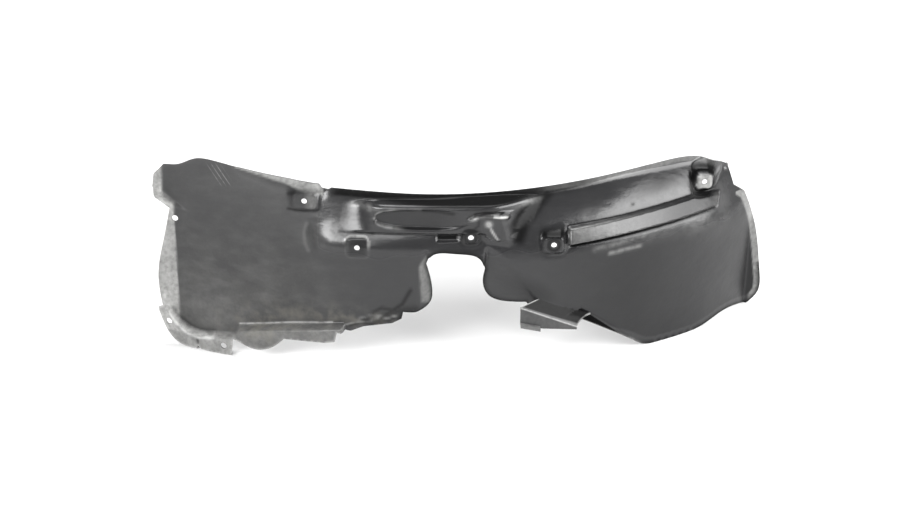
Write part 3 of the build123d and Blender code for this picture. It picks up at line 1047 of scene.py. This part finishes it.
def shell_mesh(name: str, outer: Array, inner: Array, quads: Array) -> Piece:
    """Closed shell between two sides with the same quads: both sides and a strip along every open edge.

    Args:
        name: Name of the piece.
        outer: Points of the outer side.
        inner: Points of the inner side, in the same order.
        quads: Faces of the outer side.
    Returns:
        The new object.
    """
    count = len(outer)
    sides = np.concatenate([quads[:, [k, (k + 1) % 4]] for k in range(4)])
    keys = np.sort(sides, axis=1)
    _, index, number = np.unique(keys[:, 0] * count + keys[:, 1], return_index=True, return_counts=True)
    rim = sides[index[number == 1]]
    strip = np.column_stack([rim[:, 1], rim[:, 0], rim[:, 0] + count, rim[:, 1] + count])
    faces = np.concatenate([quads, quads[:, ::-1] + count, strip])
    return write_mesh(name, np.concatenate([outer, inner]), faces, np.concatenate([rim, rim + count]))


def grid_shell(name: str, outer: Array, inner: Array) -> Piece:
    """Closed shell between two grids of points of the same size."""
    at = np.arange(outer[..., 0].size).reshape(outer.shape[:2])
    quads = np.stack([at[:-1, :-1], at[1:, :-1], at[1:, 1:], at[:-1, 1:]], axis=-1).reshape(-1, 4)
    return shell_mesh(name, outer.reshape(-1, 3), inner.reshape(-1, 3), quads)


def paint(piece: Piece, coat: Coat, values: Array) -> None:
    """Stores one coat's values on a piece's points."""
    layer = piece.data.attributes.new(coat.value, "FLOAT", "POINT")
    layer.data.foreach_set("value", values.astype(np.float32))


class NodeBench:
    """One node material, with short ways to add linked nodes to it."""

    def __init__(self, name: str) -> None:
        """Starts the material under its name."""
        self.material = bpy.data.materials.new(name)
        self.material.use_nodes = True
        self.shader = self.material.node_tree.nodes["Principled BSDF"]
        self.coords = self.add("TexCoord", "Object", {})

    def feed(self, node: bpy.types.Node, inputs: Inputs) -> None:
        """Gives a node's inputs their values, or links them to where the values come from.

        Args:
            node: The node.
            inputs: What its inputs are given.
        """
        for key, value in inputs.items():
            if isinstance(value, (float, tuple)):
                node.inputs[key].default_value = value
            else:
                self.material.node_tree.links.new(value, node.inputs[key])

    def add(self, kind: str, out: Key, inputs: Inputs, **options: object) -> Socket:
        """Adds a node.

        Args:
            kind: Kind of the node.
            out: The output that is wanted.
            inputs: What its inputs are given.
            options: Its settings.
        Returns:
            The output.
        """
        node = self.material.node_tree.nodes.new("ShaderNode" + kind)
        for key, value in options.items():
            setattr(node, key, value)
        self.feed(node, inputs)
        return node.outputs[out]

    def coat(self, which: Coat) -> Socket:
        """Value of one coat at the shaded point."""
        return self.add("Attribute", "Fac", {}, attribute_name=which.value)

    def ramp(self, value: Socket, span: Point = (0.0, 1.0), onto: Point = (0.0, 1.0)) -> Socket:
        """Value brought from one span onto another."""
        ends = zip(("From Min", "From Max", "To Min", "To Max"), (*span, *onto))
        return self.add("MapRange", "Result", {"Value": value, **dict(ends)})

    def noise(self, scale: float, detail: float, span: Point = (0.0, 1.0),
              squash: Vector = (1.0, 1.0, 1.0)) -> Socket:
        """Noise whose span is stretched onto 0 to 1, its pattern scaled by the squash along each axis."""
        place = self.add("Mapping", "Vector", {"Vector": self.coords, "Scale": squash})
        node = self.add("TexNoise", "Fac", {"Vector": place, "Scale": scale, "Detail": detail})
        return self.ramp(node, span)

    def join(self, kind: str, a: Socket, b: Given) -> Socket:
        """Two values joined by one operation, held between 0 and 1."""
        return self.add("Math", 0, {0: a, 1: b}, operation=kind, use_clamp=True)

    def times(self, first: Socket, *others: Given) -> Socket:
        """Product of the values, one after the other."""
        for other in others:
            first = self.join("MULTIPLY", first, other)
        return first

    def scaled(self, value: Socket, by: float, plus: float) -> Socket:
        """Value times one number plus another."""
        return self.join("ADD", self.times(value, by), plus)

    def mix(self, factor: Socket, a: Given, b: Colour) -> Socket:
        """Colour a turned towards colour b by the factor."""
        first = (*a, 1.0) if isinstance(a, tuple) else a
        return self.add("Mix", 2, {0: factor, 6: first, 7: (*b, 1.0)}, data_type="RGBA")

    def relief(self, height: Socket, strength: float, distance: float, **under: Socket) -> Socket:
        """Bumps of the given height, on top of other bumps where there are any."""
        given = {"Height": height, "Strength": strength, "Distance": distance, **under}
        return self.add("Bump", "Normal", given)


@dataclass(frozen=True)
class UsedPlastic:
    """Black moulded plastic that has been in use: satin, dusty, pale at the lips and scratched, with
    painted highlights and painted shade.

    The gleam is the specular level where it is clean and where the painted shade covers it.
    """

    base: Colour = (0.016, 0.016, 0.017)
    dusty: Colour = (0.044, 0.0435, 0.042)
    # Pale grey of dust scuffs, weathering and painted highlights.
    pale_and_lit: Colour = (0.36, 0.36, 0.35)
    # Pale colour of wear and of painted highlights.
    pale_wear_and_highlight: Colour = (0.50, 0.50, 0.49)
    soil: Colour = (0.088, 0.083, 0.070)
    # Colour of the painted shade.
    black: Colour = (0.004, 0.004, 0.004)
    satin: float = 0.20
    matt: float = 0.60
    shade_roughness: float = 0.95
    gleam: Point = (0.45, 0.02)
    refraction: float = 1.49
    comb_normal: Vector = (0.772, 0.0, 0.636)
    comb_period: float = 0.0049
    comb_line: Point = (0.13, 0.05)
    grain: Point = (380.0, 3.0)

    def comb(self, bench: NodeBench) -> Socket:
        """Thin parallel lines: the place across the comb over its period, folded to the nearest line."""
        step = tuple(c / self.comb_period for c in self.comb_normal)
        across = bench.add("VectorMath", "Value", {0: bench.coords, 1: step}, operation="DOT_PRODUCT")
        return bench.ramp(bench.add("Math", 0, {0: across, 1: 0.5}, operation="PINGPONG"), self.comb_line)

    def colour(self, bench: NodeBench) -> Socket:
        """Colour of the plastic under its dust, scuffs, soil, pale grey with painted highlights, painted
        shade, pale wear with painted highlights, and scratches.

        Args:
            bench: The material.
        Returns:
            The colour.
        """
        cloud = bench.scaled(bench.noise(38.0, 6.0, (0.25, 0.75)), 0.75, 0.28)
        grain = bench.scaled(bench.noise(*self.grain, (0.30, 0.75)), 0.35, 0.72)
        colour = bench.mix(bench.times(bench.coat(Coat.DUST), cloud, grain), self.base, self.dusty)
        scuff = bench.noise(60.0, 5.0, (0.45, 0.80), (0.5, 1.0, 1.3))
        colour = bench.mix(bench.times(bench.coat(Coat.DUST), scuff, 0.07), colour, self.pale_and_lit)
        soil = bench.noise(75.0, 7.0, (0.42, 0.70))
        colour = bench.mix(bench.times(bench.coat(Coat.GRIME), soil), colour, self.soil)
        # Pale grey where the plastic is weathered and where highlights are painted.
        streak = bench.scaled(bench.noise(55.0, 6.0, (0.28, 0.72), (0.9, 1.0, 0.6)), 0.50, 0.55)
        speckle = bench.scaled(bench.noise(210.0, 4.0, (0.30, 0.70)), 0.55, 0.60)
        colour = bench.mix(bench.times(bench.coat(Coat.GREY), streak, speckle), colour, self.pale_and_lit)
        # Painted shade: black mixed in by the shade coat.
        colour = bench.mix(bench.times(bench.coat(Coat.CREASE), 0.96), colour, self.black)
        # Pale wear, painted highlights and scratches.
        patchy = bench.join("ADD", bench.noise(90.0, 4.0, (0.35, 0.65)), 0.35)
        faint = bench.times(bench.noise(160.0, 3.0, (0.30, 0.55)), 0.17)
        scratch = bench.times(bench.coat(Coat.SCRATCH), self.comb(bench), faint)
        highlights_and_wear = bench.join("MAXIMUM", bench.times(bench.coat(Coat.EDGE), patchy), scratch)
        return bench.mix(highlights_and_wear, colour, self.pale_wear_and_highlight)

    def roughness(self, bench: NodeBench) -> Socket:
        """Roughness, from matt to satin by the gloss, and duller where the painted shade is darkest."""
        uneven = bench.scaled(bench.noise(30.0, 4.0), 0.10, 0.90)
        clean = bench.ramp(bench.times(bench.coat(Coat.GLOSS), uneven), onto=(self.matt, self.satin))
        shade_roughness = bench.times(bench.ramp(bench.coat(Coat.CREASE), (0.95, 1.0)), self.shade_roughness)
        return bench.join("MAXIMUM", clean, shade_roughness)

    def surface(self, bench: NodeBench) -> Socket:
        """Bumps of the moulded grain and of the slight waves."""
        hill = bench.relief(bench.noise(*self.grain), 0.12, 0.0005)
        return bench.relief(bench.noise(42.0, 3.0, squash=(0.6, 1.0, 1.3)), 0.30, 0.002, Normal=hill)

    def material(self, name: str) -> bpy.types.Material:
        """Builds the node material.

        Args:
            name: Name of the material.
        Returns:
            The material.
        """
        bench = NodeBench(name)
        bench.feed(bench.shader, {
            "Base Color": self.colour(bench), "Roughness": self.roughness(bench),
            # The painted shade also lowers the specular level.
            "Specular IOR Level": bench.ramp(bench.coat(Coat.CREASE), onto=self.gleam),
            "IOR": self.refraction, "Normal": self.surface(bench),
        })
        return bench.material


@dataclass(frozen=True)
class SoftLight:
    """Rectangular studio light: its place and aim in metres, its size and its power in watts."""

    name: str
    at: Vector
    to: Vector
    size: Point
    power: float

    def build(self) -> None:
        """Makes the lamp and turns it to its aim."""
        data = bpy.data.lights.new(self.name, "AREA")
        data.shape = "RECTANGLE"
        data.size, data.size_y = self.size
        data.energy = self.power
        lamp = bpy.data.objects.new(self.name, data)
        bpy.context.scene.collection.objects.link(lamp)
        lamp.location = self.at
        aim = np.array(self.to) - np.array(self.at)
        lamp.rotation_euler = (math.acos(-aim[2] / np.linalg.norm(aim)), 0.0,
                               math.atan2(aim[1], aim[0]) - math.pi / 2)


@dataclass
class Studio:
    """Pale floor, soft lights and the camera of the photograph."""

    eye: Vector = (0.0, -1187.0, 577.0)
    pitch: float = 20.0
    lens: float = 44.0
    sensor: float = 36.0
    sight: float = 100.0
    sky: float = 0.12
    reach: float = 6000.0
    level: float = 2600.0
    rise: float = 2200.0
    rings: int = 40
    spokes: int = 96
    pale: Colour = (0.82, 0.82, 0.82)
    dull: float = 0.9
    lights: Tuple[SoftLight, ...] = (
        SoftLight("light_top", (0.1, 0.5, 2.2), (0.0, 0.0, 0.1), (1.6, 1.0), 34.0),
        SoftLight("light_front", (-0.4, -1.75, 1.75), (0.0, 0.0, 0.1), (1.3, 0.6), 18.0),
        SoftLight("light_right", (1.96, -0.6, 1.0), (0.2, 0.0, 0.15), (1.7, 1.5), 82.0),
        SoftLight("light_left", (-1.46, -1.56, 1.10), (-0.15, 0.0, 0.15), (1.5, 0.6), 52.0),
        SoftLight("light_back", (0.0, 1.6, 1.9), (0.0, 4.2, 0.0), (3.5, 1.0), 120.0),
    )

    def floor(self) -> None:
        """Round pale floor that turns up into a backdrop: an eased rise with the distance."""
        turn = np.linspace(0.0, 2.0 * math.pi, self.spokes + 1)[:-1]
        reach = np.linspace(0.0, self.reach, self.rings + 1)[1:]
        r, t = np.meshgrid(reach, turn, indexing="ij")
        rise = self.rise * ease(self.level, self.reach, r) ** 1.5
        points = np.stack([r * np.cos(t), r * np.sin(t), rise], axis=-1).reshape(-1, 3)
        at = np.arange(r.size).reshape(r.shape)
        nxt = np.roll(at, -1, axis=1)
        quads = np.stack([at[:-1], at[1:], nxt[1:], nxt[:-1]], axis=-1).reshape(-1, 4)
        made = write_mesh("studio_floor", points - SHIFT, quads)
        disc = write_mesh("studio_floor_middle", points[:self.spokes] - SHIFT, at[:1])
        pale = bpy.data.materials.new("studio_pale")
        pale.use_nodes = True
        shader = pale.node_tree.nodes["Principled BSDF"]
        shader.inputs["Base Color"].default_value = (*self.pale, 1.0)
        shader.inputs["Roughness"].default_value = self.dull
        for piece in (made, disc):
            piece.data.materials.append(pale)

    def build(self) -> None:
        """Makes the floor, the lights and the camera."""
        self.floor()
        for light in self.lights:
            light.build()
        scene = bpy.context.scene
        scene.view_settings.view_transform = "Standard"
        world = bpy.data.worlds.new("studio_world")
        scene.world = world
        world.use_nodes = True
        sky = world.node_tree.nodes["Background"]
        sky.inputs["Color"].default_value = (1.0, 1.0, 1.0, 1.0)
        sky.inputs["Strength"].default_value = self.sky
        data = bpy.data.cameras.new("photo_camera")
        data.lens = self.lens
        data.sensor_width = self.sensor
        data.clip_end = self.sight
        camera = bpy.data.objects.new("photo_camera", data)
        scene.collection.objects.link(camera)
        camera.location = (np.array(self.eye) + SHIFT) / METRE
        camera.rotation_euler = (math.radians(90.0 - self.pitch), 0.0, 0.0)
        scene.camera = camera


def main() -> None:
    """Builds the sheet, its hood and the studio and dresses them."""
    logging.basicConfig(level=logging.INFO)
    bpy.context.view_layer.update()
    finish = UsedPlastic().material("used_black_plastic")
    sheet = MouldedSheet()
    for piece in [sheet.build(), *Hood(sheet).build()]:
        piece.data.materials.append(finish)
        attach(piece, "root")
        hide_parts(NODE)
        LOG.info("piece %s with %d faces", piece.name, len(piece.data.polygons))
    Studio().build()


if __name__ == "__main__":
    main()
